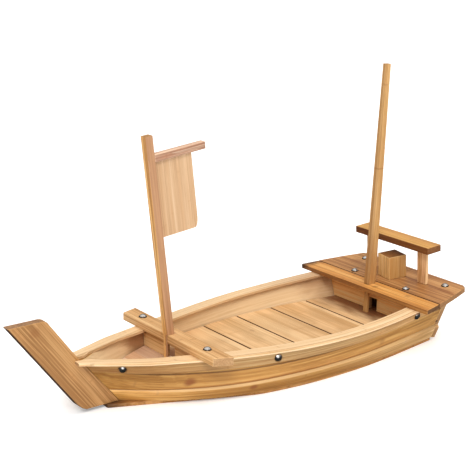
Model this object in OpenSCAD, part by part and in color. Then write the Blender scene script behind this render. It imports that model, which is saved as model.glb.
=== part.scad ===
// Sushi boat tray: a planked wooden hull with a slatted floor, two masts, a sail board,
// a stern deck with a small bench and a square block, and domed nails. All sizes in millimetres.
// Bow at -X, stern at +X, +Z up, the hull stands on z = 0.

/* [Overall] */
// Length from the stem's top corner to the back of the stern deck
overall_length = 600; // [598:1:606]
// Largest width of the hull over its gunwales
hull_width = 212.8; // [208:0.2:218]
// Height of the gunwale's top amidships
side_height = 54.5; // [53:0.5:57]
// Rise of the gunwale from its lowest point to its bow tip
bow_rise = 10.8; // [8:0.2:13]
// Rise of the gunwale per square millimetre towards the stern, in millionths
stern_rise = 160; // [120:5:180]
// Distance of the gunwale's lowest point behind the middle
low_point = 20; // [10:1:30]

/* [Planking] */
// Thickness of the hull planks
plank_thickness = 5.5; // [5:0.1:6.2]
// Thickness of the flat bottom board
bottom_thickness = 4.2; // [3.6:0.1:5]
// How far the upper plank leans out between its lower and upper edge
upper_flare = 8.7; // [7:0.1:10]
// How far the lower plank leans out between its lower and upper edge
lower_flare = 4.7; // [3.5:0.1:6]
// Width of the bevelled ledge along the top of the lower plank
ledge = 2.8; // [2:0.1:3.2]
// Height of the ledge's lower corner above the table amidships
ledge_height = 16.2; // [15:0.2:17.5]
// Height of the nailed band along the side
band_height = 12; // [10:0.5:13]
// Thickness of the nailed band
band_thickness = 2.6; // [2:0.1:3]
// Width of the flat gunwale
gunwale_width = 17.2; // [15:0.2:19]
// Thickness of the gunwale
gunwale_thickness = 3.6; // [3:0.1:4.5]
// How far the gunwale stands out past the band
gunwale_overhang = 2.1; // [1:0.1:3]
// Thickness of the transom board
transom_thickness = 7; // [6:0.1:8]
// Distance of the transom's foot in front of the deck's back edge
transom_inset = 38; // [34:0.5:42]

/* [Stem] */
// Thickness of the upright bow plank
stem_thickness = 12; // [10:0.2:14]
// Height of the stem's top above the table
stem_height = 118; // [112:1:124]
// Length of the stem's flat top
stem_top_length = 37; // [32:0.5:42]
// Distance of the stem's toe behind its top front corner
stem_toe_back = 91; // [86:0.5:96]
// Distance of the stem's heel behind its top front corner
stem_heel_back = 133; // [130:0.5:136]

/* [Floor] */
// Height of the slatted floor above the table
floor_height = 28.7; // [27.5:0.1:30]
// Thickness of the floor slats
slat_thickness = 5; // [4:0.1:6]
// Distance of the foremost slat behind the stem's top front corner
slats_back = 143.7; // [140:0.1:148]
// Length of the aftmost slat's front edge from the deck's back edge
slats_end = 64.9; // [60:0.1:66]
// Gap between two slats
slat_gap = 1.4; // [1:0.1:2]
// Distance of each bearer from the boat's middle
bearer_offset = 7; // [5:0.5:20]
// Distance of the bearers' front ends behind the stem's top front corner
bearers_back = 158; // [154:0.5:166]
// Width of the two bearers below the floor
bearer_width = 8; // [6:0.5:10]

/* [Bow beam] */
// Distance of the crossbeam behind the stem's top front corner
beam_back = 200; // [196:0.5:204]
// Length of the crossbeam along its front edge
beam_length = 186; // [180:1:192]
// Width of the crossbeam
beam_width = 22.4; // [20:0.2:25]
// How much longer the crossbeam is at each end along its back edge
beam_flare = 8.2; // [5:0.2:10]
// Thickness of the crossbeam
beam_thickness = 9.6; // [8.4:0.1:10.4]
// Thickness of the bulkheads
bulkhead_thickness = 6; // [5:0.1:7]
// Width of the opening at the foot of the bow bulkhead
bow_opening_width = 18.6; // [14:0.2:22]
// Height of that opening above the bow floor
bow_opening_height = 17; // [14:0.5:19]
// Thickness of the bow floor on top of the slats
bow_floor_thickness = 5.8; // [5:0.1:7]
// Distance of the bow floor's front end behind the stem's top front corner
bow_floor_back = 132; // [130:0.5:138]
// How far the bow floor shows behind the bow bulkhead
bow_floor_lip = 0.8; // [0.4:0.1:3]
// Distance of the bow bulkhead behind the crossbeam's front edge
bulkhead_setback = 6.2; // [6:0.1:8]

/* [Stern deck] */
// Length of the deck from its front edge to its back edge
deck_length = 96; // [92:0.5:100]
// Width of the deck along its front edge
deck_width = 238.6; // [230:0.2:244]
// Thickness of the deck boards
deck_thickness = 6.5; // [5.5:0.1:7.5]
// Width of the front deck plank
front_plank_width = 25.9; // [24:0.1:27]
// Width of the saw cut at the back of the deck
slit_width = 1.2; // [1:0.1:1.6]
// Length of the saw cut
slit_length = 22; // [16:0.5:23]
// Distance of the stern bulkhead behind the deck's front edge
stern_bulkhead_setback = 22; // [18:0.1:24]
// Width of the opening at the foot of the stern bulkhead
stern_opening_width = 15; // [12:0.2:20]
// Height of that opening above the floor
stern_opening_height = 16.5; // [14:0.5:20]

/* [Bench and block] */
// Distance of the bench top behind the deck's front edge
bench_setback = 53.6; // [49:0.2:58]
// Distance of the bench posts behind the bench top's front edge
post_setback = 8.8; // [6:0.1:12]
// Distance from the boat's middle to a post's outer face
post_outer = 54.7; // [50:0.1:60]
// Length of the bench top
bench_length = 134.4; // [126:0.2:140]
// Width of the bench top
bench_width = 23.6; // [21:0.2:26]
// Thickness of the bench top
bench_thickness = 9; // [7:0.1:10]
// Height of the bench above the deck
bench_height = 54.5; // [50:0.1:58]
// Width of a bench post across the boat
post_width = 15; // [13:0.2:17]
// Thickness of a bench post along the boat
post_thickness = 5.4; // [5:0.1:8]
// Distance of the block's middle behind the deck's front edge
block_setback = 56.6; // [54:0.2:60]
// Side of the square block
block_side = 26.8; // [24:0.2:29]
// Height of the block
block_height = 30.3; // [26:0.1:36]
// Turn of the block in degrees
block_turn = -10.7; // [-14:0.1:0]

/* [Masts and sail] */
// Distance of the front mast's axis behind the crossbeam's front edge
front_mast_setback = 3.7; // [3.4:0.1:4.6]
// Distance of the rear mast's axis behind the deck's front edge
rear_mast_setback = 15.8; // [14:0.1:18]
// Height of the sail's lower edge along the mast
sail_bottom = 116.5; // [105:0.5:125]
// How deep the sail sits in the mast's groove
sail_inset = 1.6; // [1:0.1:2.4]
// Side of the square front mast
front_mast_side = 9.5; // [8.6:0.1:10.4]
// Length of the front mast above the beam
front_mast_length = 235.8; // [225:0.2:250]
// Forward lean of the front mast in degrees
front_mast_lean = 6.2; // [5:0.1:7]
// Side of the square rear mast at its foot
rear_mast_foot = 10.4; // [9.6:0.1:11.4]
// Side of the square rear mast at its top
rear_mast_top = 6.9; // [6:0.1:9]
// Length of the rear mast above the deck
rear_mast_length = 284.8; // [275:0.2:292]
// Backward lean of the rear mast in degrees
rear_mast_lean = 3.2; // [2.4:0.1:3.8]
// Width of the tongue below the front mast
front_tongue_width = 5; // [4:0.1:6.4]
// Thickness of the tongue below the front mast
front_tongue_thickness = 2.8; // [2:0.1:3.4]
// Width of the tongue below the rear mast
rear_tongue_width = 6.6; // [5:0.1:8]
// Thickness of the tongue below the rear mast
rear_tongue_thickness = 3.6; // [2.6:0.1:4.4]
// Width of the sail board from the mast's axis
sail_width = 55; // [48:0.5:60]
// Height of the sail board
sail_height = 88.6; // [80:0.2:96]
// Thickness of the sail board
sail_thickness = 3; // [2.4:0.1:3.6]
// Length of the yard from the mast's axis
yard_length = 73; // [64:0.5:80]
// Width of the yard across the boat
yard_width = 9; // [7:0.2:10]
// Height of the yard's section
yard_height = 8.6; // [7:0.1:10]

/* [Nails] */
// Distance of the foremost side nail behind the stem's top front corner
bow_nail_back = 123; // [118:0.5:128]
// Distance of the middle side nail in front of the boat's middle
middle_nail_front = 6; // [0:0.5:24]
// Distance of the aftmost side nail in front of the deck's back edge
stern_nail_front = 88.4; // [84:0.2:92]
// Distance of a crossbeam nail from the boat's middle
beam_nail_offset = 66.5; // [60:0.5:72]
// Distance of a front deck nail from the boat's middle
front_deck_nail_offset = 48; // [42:0.5:54]
// Distance of a back deck nail from the boat's middle
back_deck_nail_offset = 74.5; // [68:0.5:80]
// Distance of the back deck nails in front of the deck's back edge
back_deck_nail_front = 18.6; // [15:0.1:22]
// Diameter of the domed nail heads
nail_diameter = 10; // [8.6:0.1:10.6]
// Height of the domed nail heads
nail_height = 3.4; // [2.8:0.1:4]
// Diameter of the nail shanks
shank_diameter = 1.8; // [1.4:0.1:2.2]

/* [Hidden] */

seat = 0.1;            // gap between pieces that sit on each other
slot_gap = 0.4;        // room around a tongue or a sail in its slot
half_length = overall_length / 2;

// the stem: front edge, aft edge and foot, seen from the side
stem_half = stem_thickness / 2;
stem_aft_slope = 0.81;
stem_foot_x = stem_heel_back - half_length;
stem_toe_x = stem_toe_back - half_length;
function stem_aft_x(z) = stem_foot_x - stem_aft_slope * (z - bottom_thickness);

// the transom's inner face leans back
transom_slope = 0.215;
transom_rake = atan(transom_slope);
transom_foot_x = half_length - transom_inset;
function transom_x(z) = transom_foot_x + transom_slope * (z - bottom_thickness);

// a smooth curve through evenly spaced values, for a position from 0 to 1
function knot(v, i) = i < 0 ? 2 * v[0] - v[1]
                    : i > len(v) - 1 ? 2 * v[len(v) - 1] - v[len(v) - 2] : v[i];
function spline_at(v, t, i) =
    let(p0 = knot(v, i - 1), p1 = knot(v, i), p2 = knot(v, i + 1), p3 = knot(v, i + 2))
    p1 + t * ((p2 - p0) + t * ((2 * p0 - 5 * p1 + 4 * p2 - p3) + t * (3 * (p1 - p2) + p3 - p0))) / 2;
function along(v, s) =
    s <= 0 ? v[0] + s * (len(v) - 1) * (v[1] - v[0])
    : s >= 1 ? v[len(v) - 1]
    : let(u = s * (len(v) - 1), i = floor(u)) spline_at(v, u - i, i);

// plan outlines as shares of the half width, from the stem to the transom
plan_top = [0, 0.35, 0.54, 0.71, 0.842, 0.945, 0.998, 1, 0.965, 0.9, 0.82];
plan_low = [0, 0.385, 0.65, 0.83, 0.93, 0.985, 1, 0.985, 0.932, 0.86, 0.78];

// half widths of the planking at its rails
top_half = hull_width / 2 - gunwale_overhang - band_thickness;
joint_half = top_half - upper_flare;
bottom_half = joint_half + ledge - lower_flare;

function hull_x(s, z) = stem_aft_x(z) + s * (transom_x(z) - stem_aft_x(z));
function hull_s(x, z) = (x - stem_aft_x(z)) / (transom_x(z) - stem_aft_x(z));
function top_y(s) = stem_half + (top_half - stem_half) * along(plan_top, s);
function joint_y(s) = stem_half + (joint_half - stem_half) * along(plan_low, s);
function bottom_y(s) = stem_half + (bottom_half - stem_half) * along(plan_low, s);
// a plank's width across the boat where its outline runs at an angle
function slant(s) =
    sqrt(1 + pow((top_y(s + 0.01) - top_y(s - 0.01)) / (0.02 * (hull_x(1, 40) - hull_x(0, 40))), 2));

// heights of the rails
deck_start = half_length - deck_length;
gunwale_tip_back = 77.5;
bow_curve = bow_rise / pow(low_point + half_length - gunwale_tip_back, 2);
stern_curve = stern_rise / 1000000;
deck_slope = 2 * stern_curve * (deck_start - low_point);
deck_angle = atan(deck_slope);
function gunwale_z(x) =
    x < low_point ? side_height + bow_curve * pow(low_point - x, 2)
    : x < deck_start ? side_height + stern_curve * pow(x - low_point, 2)
    : side_height + stern_curve * pow(deck_start - low_point, 2) + deck_slope * (x - deck_start);
function ledge_z(x) = ledge_height + 0.000045 * pow(x - low_point, 2);
function top_z(s) = gunwale_z(hull_x(s, side_height)) - gunwale_thickness;
function joint_z(s) = ledge_z(hull_x(s, ledge_height)) + ledge;

// inner half width of the upper plank at a place and height
function inner_y(x, z) =
    let(s = hull_s(x, z), v = (z - joint_z(s)) / (top_z(s) - joint_z(s)))
    joint_y(s) + v * (top_y(s) - joint_y(s)) - plank_thickness * slant(s);
// outer half width of the upper plank, by share of its height
function side_point(s, v, out) =
    let(z = joint_z(s) + v * (top_z(s) - joint_z(s)))
    [hull_x(s, z), joint_y(s) + v * (top_y(s) - joint_y(s)) + out, z];

stations = 30;
function station(i) = pow(i / stations, 1.2);

// a closed skin over equal sections, given as lists of points
module loft(sections) {
    m = len(sections[0]);
    n = len(sections);
    points = [for (sec = sections) for (p = sec) p];
    sides = [for (i = [0:n - 2]) for (j = [0:m - 1])
             let(a = i * m + j, b = i * m + (j + 1) % m) each [[a, b, a + m], [b, b + m, a + m]]];
    polyhedron(points, concat(sides, [[for (j = [m - 1:-1:0]) j], [for (j = [0:m - 1]) (n - 1) * m + j]]),
               convexity = 10);
}

wood = [0.80, 0.61, 0.39];
side_wood = [0.74, 0.55, 0.33];
deck_wood = [0.74, 0.51, 0.29];
metal = [0.78, 0.79, 0.80];

// the hull

board_nose_x = stem_foot_x - 17;
board_nose_half = 8.5;
function nose_y(x) = board_nose_half + 0.44 * (x - board_nose_x);
board_inset = 1.4;
function board_y(x) =
    x < stem_foot_x + 38 ? nose_y(x)
    : min(nose_y(x), bottom_y(hull_s(x, bottom_thickness)) - board_inset);
board_aft_x = transom_foot_x - seat;
board_x = [for (i = [0:40]) board_nose_x + (board_aft_x - board_nose_x) * i / 40];

module bottom_board() color(side_wood)
    linear_extrude(bottom_thickness - seat)
        polygon(concat([for (x = board_x) [x, -board_y(x)]],
                       [for (i = [40:-1:0]) [board_x[i], board_y(board_x[i])]]));

// the stem leaves the planking at its neck; toe and shoulder are rounded off
stem_neck_z = 0.56 * stem_height;
stem_shoulder_x = stem_top_length + 11.9 - half_length;
module stem() color(wood)
    translate([0, stem_half, 0]) rotate([90, 0, 0]) linear_extrude(stem_thickness)
        polygon([
            [-half_length, stem_height],
            [stem_toe_x - 11.5, bottom_thickness + 7.8],
            [stem_toe_x - 5, bottom_thickness + 2.2],
            [stem_toe_x, bottom_thickness],
            [stem_aft_x(bottom_thickness) - seat, bottom_thickness],
            [stem_aft_x(stem_neck_z) - seat, stem_neck_z],
            [stem_shoulder_x, stem_height - 5.4],
            [stem_shoulder_x - 2, stem_height - 2.5],
            [stem_shoulder_x - 4.8, stem_height - 0.7],
            [stem_shoulder_x - 8.4, stem_height]
        ]);

module lower_plank() color(side_wood)
    loft([for (i = [0:stations])
        let(s = station(i), zc = joint_z(s) - ledge, zj = joint_z(s) - seat / 2, zb = bottom_thickness,
            t = plank_thickness * slant(s))
        [[hull_x(s, zb), bottom_y(s), zb],
         [hull_x(s, zb), max(0.1, bottom_y(s) - t), zb],
         [hull_x(s, zj), max(0.1, joint_y(s) - t), zj],
         [hull_x(s, zj), joint_y(s), zj],
         [hull_x(s, zc), joint_y(s) + ledge, zc]]]);

module upper_plank() color(side_wood)
    loft([for (i = [0:stations])
        let(s = station(i), zj = joint_z(s) + seat / 2, zt = top_z(s) - seat, t = plank_thickness * slant(s))
        [[hull_x(s, zj), joint_y(s), zj],
         [hull_x(s, zj), max(0.1, joint_y(s) - t), zj],
         [hull_x(s, zt), max(0.1, top_y(s) - t), zt],
         [hull_x(s, zt), top_y(s), zt]]]);

// where the band's lower edge runs, as a share of the upper plank's height
function band_low(s) = 1 - band_height / (top_z(s) - joint_z(s));
function band_point(s, v, out) = side_point(s, v, out * slant(s));

band_seat = 0.45;      // the band and the plank bend in slightly different facets
module band() color(wood)
    difference() {
        loft([for (i = [0:stations])
            let(s = station(i), v0 = band_low(s), v1 = 1 - 0.012)
            [band_point(s, v0, band_thickness),
             band_point(s, v0, band_seat),
             band_point(s, v1, band_seat),
             band_point(s, v1, band_thickness)]]);
        for (x = side_nail_x) side_nail_place(x) shank_hole(band_thickness + 1);
    }

gunwale_tip = 9;       // how far the gunwale laps over the stem's side
function gunwale_outer(s) = max(top_y(s) + (band_thickness + gunwale_overhang) * min(slant(max(s, 0.02)), 1.15),
                                stem_half + 9);
// the gunwale narrows towards the bow
function gunwale_share(s) = s < 0.25 ? 0.7 + 1.2 * max(s, 0) : 1;
function gunwale_inner(s) = max(gunwale_outer(s) - gunwale_width * gunwale_share(s) * slant(max(s, 0.02)),
                                stem_half + seat);

module gunwale() color(wood)
    loft([for (i = [-1:stations])
        let(s = i < 0 ? -gunwale_tip / (hull_x(1, side_height) - hull_x(0, side_height)) : station(i),
            z = top_z(max(s, -0.02)), x = hull_x(s, z))
        [[x, gunwale_outer(s), z],
         [x, gunwale_inner(s), z],
         [x, gunwale_inner(s), z + gunwale_thickness],
         [x, gunwale_outer(s), z + gunwale_thickness]]]);

module transom() color(side_wood) {
    zt = top_z(1) - seat;
    zj = joint_z(1);
    k = 1 / cos(transom_rake);
    translate([transom_x(bottom_thickness) + seat, 0, bottom_thickness])
        rotate([0, transom_rake, 0])
            rotate([90, 0, 90])
                linear_extrude(transom_thickness)
                    polygon([for (m = [1, -1]) each let(
                        half = [[m * bottom_y(1), 0],
                                [m * (joint_y(1) + ledge), (zj - ledge - bottom_thickness) * k],
                                [m * joint_y(1), (zj - bottom_thickness) * k],
                                [m * top_y(1), (zt - bottom_thickness) * k]])
                        [for (j = [0:3]) half[m > 0 ? j : 3 - j]]]);
}

// the slatted floor and its bearers

slats = 8;
slat_pitch = (overall_length - slats_back - slats_end) / (slats - 1);
function gap_x(i) = slats_back - half_length + (i - 1) * slat_pitch;
slat_bottom = floor_height - slat_thickness;
function slat_from(i) = gap_x(i) + slat_gap / 2;
function slat_to(i) = i == slats ? transom_x(slat_bottom) - 0.5 : gap_x(i + 1) - slat_gap / 2;
function plan(x0, x1, n, clear, z) =
    concat([for (j = [0:n]) let(x = x0 + (x1 - x0) * j / n) [x, clear - inner_y(x, z)]],
           [for (j = [n:-1:0]) let(x = x0 + (x1 - x0) * j / n) [x, inner_y(x, z) - clear]]);

module slat(i) color(wood)
    translate([0, 0, slat_bottom]) linear_extrude(slat_thickness)
        polygon(plan(slat_from(i), slat_to(i), 8, 0.7, slat_bottom));

bearer_from = bearers_back - half_length;
bearer_to = transom_x(bottom_thickness) - 2;
module bearer() color(side_wood)
    translate([bearer_from, bearer_offset, bottom_thickness])
        cube([bearer_to - bearer_from, bearer_width, slat_bottom - bottom_thickness - seat]);

// the bow: floor board, crossbeam and bulkhead

beam_front_x = beam_back - half_length;
bow_bulkhead_x = beam_front_x + bulkhead_setback;
bow_floor_from = bow_floor_back - half_length;
bow_floor_to = bow_bulkhead_x + bulkhead_thickness + bow_floor_lip;
bow_floor_top = floor_height + seat + bow_floor_thickness;
module bow_floor() color(wood)
    translate([0, 0, floor_height + seat]) linear_extrude(bow_floor_thickness)
        polygon(plan(bow_floor_from, bow_floor_to, 10, 0.9, floor_height + seat));

beam_z = gunwale_z(beam_front_x);
beam_angle = atan((gunwale_z(beam_front_x + beam_width) - beam_z) / beam_width);
module beam_place() translate([beam_front_x, 0, beam_z + seat]) rotate([0, -beam_angle, 0]) children();
front_tongue_x = beam_front_x + front_mast_setback - front_mast_side / 2;
notch_depth = front_tongue_x + front_tongue_thickness - beam_front_x + slot_gap;

module bow_beam() color(wood)
    difference() {
        beam_place() linear_extrude(beam_thickness)
            polygon([[0, -beam_length / 2], [beam_width, -beam_length / 2 - beam_flare],
                     [beam_width, beam_length / 2 + beam_flare], [0, beam_length / 2]]);
        translate([beam_front_x - 2, -front_tongue_width / 2 - slot_gap, beam_z - 4])
            cube([2 + notch_depth, front_tongue_width + 2 * slot_gap, beam_thickness + 8]);
        beam_place() for (m = [1, -1])
            translate([beam_width / 2, m * beam_nail_offset, beam_thickness]) shank_hole(7);
    }

// a board across the hull: shaped to the planks below the gunwales, up between them above
module bulkhead(x, bottom, top, opening_width, opening_height) {
    t = bulkhead_thickness;
    steps = 4;
    shoulder = min(gunwale_z(x), gunwale_z(x + t)) - gunwale_thickness - 0.4;
    function edge(z) = min(inner_y(x, z), inner_y(x + t, z)) - 0.4;
    neck = min(gunwale_inner(hull_s(x, shoulder)), gunwale_inner(hull_s(x + t, shoulder))) - 0.4;
    rise = [for (j = [0:steps]) bottom + (shoulder - bottom) * j / steps];
    translate([x, 0, 0]) rotate([90, 0, 90]) linear_extrude(t)
        difference() {
            polygon(concat([for (z = rise) [edge(z), z]],
                           [[neck, shoulder], [neck, top], [-neck, top], [-neck, shoulder]],
                           [for (j = [steps:-1:0]) [-edge(rise[j]), rise[j]]]));
            translate([-opening_width / 2, bottom - 1]) square([opening_width, opening_height + 1]);
        }
}

module bow_bulkhead() color(wood)
    bulkhead(bow_bulkhead_x, bow_floor_top + seat,
             beam_z - tan(beam_angle) * -(bow_bulkhead_x + bulkhead_thickness - beam_front_x),
             bow_opening_width, bow_opening_height);

// the stern deck

deck_z = gunwale_z(deck_start);
// everything on the deck is placed along its slope: x from the deck's front edge, z from its underside
module deck_place() translate([deck_start, 0, deck_z + seat]) rotate([0, -deck_angle, 0]) children();
deck_end = (half_length - deck_start) / cos(deck_angle);
plank_gap = 0.8;
rear_deck_from = front_plank_width + plank_gap;
function deck_half(u) = deck_width / 2 - 0.17 * u - 0.00096 * u * u;
rear_tongue_x = rear_mast_setback - rear_mast_foot / 2 + 0.1;
slot_from = rear_tongue_x - slot_gap - deck_thickness * tan(rear_mast_lean + deck_angle);
slot_to = rear_tongue_x + rear_tongue_thickness + slot_gap;

module deck_front_plank() color(deck_wood)
    deck_place() difference() {
        linear_extrude(deck_thickness)
            polygon([[0, -deck_half(0)], [front_plank_width, -deck_half(front_plank_width)],
                     [front_plank_width, deck_half(front_plank_width)], [0, deck_half(0)]]);
        translate([slot_from, -rear_tongue_width / 2 - slot_gap, -1])
            cube([slot_to - slot_from, rear_tongue_width + 2 * slot_gap, deck_thickness + 2]);
    }

deck_nail_front = [rear_deck_from + 7, front_deck_nail_offset];
deck_nail_back = [deck_end - back_deck_nail_front, back_deck_nail_offset];
module stern_deck() color(deck_wood)
    deck_place() difference() {
        linear_extrude(deck_thickness)
            let(edge = [for (j = [0:6])
                        let(u = rear_deck_from + (deck_end - 4 - rear_deck_from) * j / 6) [u, deck_half(u)]],
                corner = [deck_end, deck_half(deck_end) - 5])
            polygon(concat([for (p = edge) [p[0], -p[1]]], [[corner[0], -corner[1]], corner],
                           [for (j = [6:-1:0]) edge[j]]));
        translate([deck_end - slit_length, -slit_width / 2, -1])
            cube([slit_length + 1, slit_width, deck_thickness + 2]);
        for (m = [1, -1], p = [deck_nail_front, deck_nail_back])
            translate([p[0], m * p[1], deck_thickness]) shank_hole(6);
    }

stern_bulkhead_x = deck_start + stern_bulkhead_setback;
module stern_bulkhead() color(wood)
    bulkhead(stern_bulkhead_x, floor_height + seat, deck_z + deck_slope * (stern_bulkhead_x - deck_start),
             stern_opening_width, stern_opening_height);

// the bench and the block

module bench_post() color(wood)
    deck_place() translate([bench_setback + post_setback, post_outer - post_width, deck_thickness + seat])
        cube([post_thickness, post_width, bench_height - bench_thickness - 2 * seat]);

module bench_top() color(wood)
    deck_place() translate([bench_setback, -bench_length / 2, deck_thickness + bench_height - bench_thickness])
        cube([bench_width, bench_length, bench_thickness]);

module block() color(wood)
    deck_place() translate([block_setback, 0.5, deck_thickness + seat]) rotate(block_turn)
        translate([-block_side / 2, -block_side / 2, 0]) cube([block_side, block_side, block_height]);

// the masts, the yard and the sail board

// origin on the beam's top at the mast's axis, z along the leaning mast
module front_mast_place()
    beam_place() translate([front_mast_setback, 0, beam_thickness])
        rotate([0, beam_angle - front_mast_lean, 0]) children();

module front_mast() color(wood) {
    difference() {
        front_mast_place() difference() {
            translate([-front_mast_side / 2, -front_mast_side / 2, -2])
                cube([front_mast_side, front_mast_side, front_mast_length + 2]);
            translate([front_mast_side / 2 - sail_inset - seat, -sail_thickness / 2 - seat, sail_bottom - 0.2])
                cube([20, sail_thickness + 2 * seat, sail_height + 0.3]);
        }
        beam_place() translate([-20, -20, beam_thickness - 12 + seat]) cube([60, 40, 12]);
    }
    // the narrow tongue runs down past the beam to the bow floor
    translate([front_tongue_x, -front_tongue_width / 2, bow_floor_top + seat])
        cube([front_tongue_thickness, front_tongue_width, beam_z + beam_thickness + 3 - bow_floor_top - seat]);
}

module sail() color(wood)
    front_mast_place()
        translate([front_mast_side / 2 - sail_inset, sail_thickness / 2, sail_bottom])
            rotate([90, 0, 0]) linear_extrude(sail_thickness)
                let(w = sail_width - front_mast_side / 2 + sail_inset, r = 14)
                polygon(concat([[0, 0]],
                               [for (a = [-90:15:0]) [w - r + r * cos(a), r + r * sin(a)]],
                               [[w, sail_height], [0, sail_height]]));

module yard() color(wood)
    front_mast_place() translate([front_mast_side / 2 + seat, -yard_width / 2, sail_bottom + sail_height + seat])
        cube([yard_length - front_mast_side / 2 - seat, yard_width, yard_height]);

module rear_mast_place()
    deck_place() translate([rear_mast_setback, 0, deck_thickness])
        rotate([0, deck_angle + rear_mast_lean, 0]) children();
rear_tongue_end = floor_height + seat;

module rear_mast() color(wood) {
    difference() {
        rear_mast_place() rotate(45) translate([0, 0, -2])
            cylinder(h = rear_mast_length + 2, d1 = (rear_mast_foot + 0.03) * sqrt(2),
                     d2 = rear_mast_top * sqrt(2), $fn = 4);
        deck_place() translate([rear_mast_setback - 20, -20, deck_thickness - 12 + seat]) cube([40, 40, 12]);
    }
    // the tongue passes through the deck's slot down to the floor
    difference() {
        rear_mast_place() translate([rear_tongue_x - rear_mast_setback, -rear_tongue_width / 2, -60])
            cube([rear_tongue_thickness, rear_tongue_width, 63]);
        translate([deck_start - 40, -20, rear_tongue_end - 60]) cube([90, 40, 60]);
    }
}

// the domed nails

dome_radius = (pow(nail_diameter / 2, 2) + pow(nail_height, 2)) / (2 * nail_height);
module nail(shank) {
    intersection() {
        translate([0, 0, nail_height - dome_radius]) sphere(r = dome_radius, $fn = 48);
        translate([0, 0, seat]) cylinder(h = nail_height + 1, d = nail_diameter + 2, $fn = 48);
    }
    translate([0, 0, -shank]) cylinder(h = shank + 1, d = shank_diameter, $fn = 24);
}
module shank_hole(depth) translate([0, 0, -depth]) cylinder(h = depth + 1, d = shank_diameter + 0.3, $fn = 24);

side_nail_x = [bow_nail_back - half_length, -middle_nail_front, half_length - stern_nail_front];
// a place on the band's outer face, with z along the face's normal
module side_nail_place(x) {
    z = gunwale_z(x) - gunwale_thickness - band_height / 2;
    s = hull_s(x, z);
    v = (z - joint_z(s)) / (top_z(s) - joint_z(s));
    p = band_point(s, v, band_thickness);
    a = band_point(s + 0.012, v, band_thickness) - band_point(s - 0.012, v, band_thickness);
    b = band_point(s, v + 0.1, band_thickness) - band_point(s, v - 0.1, band_thickness);
    n = cross(b, a);
    translate(p) rotate([0, acos(n[2] / norm(n)), atan2(n[1], n[0])]) children();
}
module side_nail_set() for (x = side_nail_x) side_nail_place(x) nail(band_thickness - 0.4);

module side_nails() color(metal) {
    side_nail_set();
    mirror([0, 1, 0]) side_nail_set();
}
module beam_nails() color(metal)
    beam_place() for (m = [1, -1])
        translate([beam_width / 2, m * beam_nail_offset, beam_thickness]) nail(6);
module deck_nails() color(metal)
    deck_place() for (m = [1, -1], p = [deck_nail_front, deck_nail_back])
        translate([p[0], m * p[1], deck_thickness]) nail(5);

// one line per node

bottom_board();
stem();
mirror([0, 1, 0]) lower_plank();  // lower_plank_left
lower_plank();  // lower_plank_right
mirror([0, 1, 0]) upper_plank();  // upper_plank_left
upper_plank();  // upper_plank_right
mirror([0, 1, 0]) band();  // band_left
band();  // band_right
mirror([0, 1, 0]) gunwale();  // gunwale_left
gunwale();  // gunwale_right
transom();
slat(1);  // floor_slat_1
slat(2);  // floor_slat_2
slat(3);  // floor_slat_3
slat(4);  // floor_slat_4
slat(5);  // floor_slat_5
slat(6);  // floor_slat_6
slat(7);  // floor_slat_7
slat(8);  // floor_slat_8
mirror([0, 1, 0]) bearer();  // bearer_left
bearer();  // bearer_right
bow_floor();
bow_beam();
bow_bulkhead();
deck_front_plank();
stern_bulkhead();
stern_deck();
mirror([0, 1, 0]) bench_post();  // bench_post_left
bench_post();  // bench_post_right
bench_top();
block();
front_mast();
yard();
sail();
rear_mast();
side_nails();
beam_nails();
deck_nails();
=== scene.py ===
import math
import bmesh
import bpy
import numpy as np
from mathutils import Matrix, Vector


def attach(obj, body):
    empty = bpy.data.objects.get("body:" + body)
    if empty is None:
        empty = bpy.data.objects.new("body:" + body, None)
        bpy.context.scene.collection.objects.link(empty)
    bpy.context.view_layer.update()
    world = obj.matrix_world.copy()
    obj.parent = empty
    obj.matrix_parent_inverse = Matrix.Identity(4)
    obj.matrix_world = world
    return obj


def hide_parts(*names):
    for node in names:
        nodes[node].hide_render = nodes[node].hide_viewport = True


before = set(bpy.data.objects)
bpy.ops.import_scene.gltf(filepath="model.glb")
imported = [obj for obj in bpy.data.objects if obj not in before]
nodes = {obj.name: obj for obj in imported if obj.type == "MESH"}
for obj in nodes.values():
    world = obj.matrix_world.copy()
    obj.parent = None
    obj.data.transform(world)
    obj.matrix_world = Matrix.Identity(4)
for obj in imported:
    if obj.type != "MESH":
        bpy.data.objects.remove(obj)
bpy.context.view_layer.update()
scene = bpy.context.scene
print("packed boat loaded,", len(nodes), "nodes")

# camera, light and floor

cameraSet = {
    "place": (-0.8069, -1.0732, 0.5504),
    "looks": (0.5741, 0.7721, -0.2726),
    "roll": 0.18,  # degrees
    "lens": 91.0,
    "sensor": 36.0,
    "shift": (0.012, -0.002),
    "reach": 40,
}


def placeCamera(c):
    data = bpy.data.cameras.new("camera")
    data.sensor_fit = "HORIZONTAL"
    data.sensor_width = c["sensor"]
    data.lens = c["lens"]
    data.shift_x, data.shift_y = c["shift"]
    data.clip_end = c["reach"]
    cam = bpy.data.objects.new("camera", data)
    scene.collection.objects.link(cam)
    turn = Vector(c["looks"]).to_track_quat("-Z", "Y").to_matrix()
    turn = turn @ Matrix.Rotation(math.radians(c["roll"]), 3, "Z")
    cam.matrix_world = Matrix.Translation(c["place"]) @ turn.to_4x4()
    scene.camera = cam


lightSet = {
    "warmWhite": (1.0, 0.985, 0.965),
    "key": {"from": (-0.62, -0.70, 0.95), "strength": 1.15, "angle": 20, "mirrored": True},
    "top": {"from": (0.25, -0.30, 1.20), "strength": 1.15, "angle": 50, "mirrored": False},
    "box": {"from": (-0.38, -0.78, 0.40), "edge": (0.84, 0.90), "strength": 1.6},
    "straightDown": -1.0,
    "sky": [(0.0, 0.03), (0.5, 0.07), (0.66, 0.24), (0.80, 0.72), (1.0, 1.40)],
    "skyStrength": 0.80,
}


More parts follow.
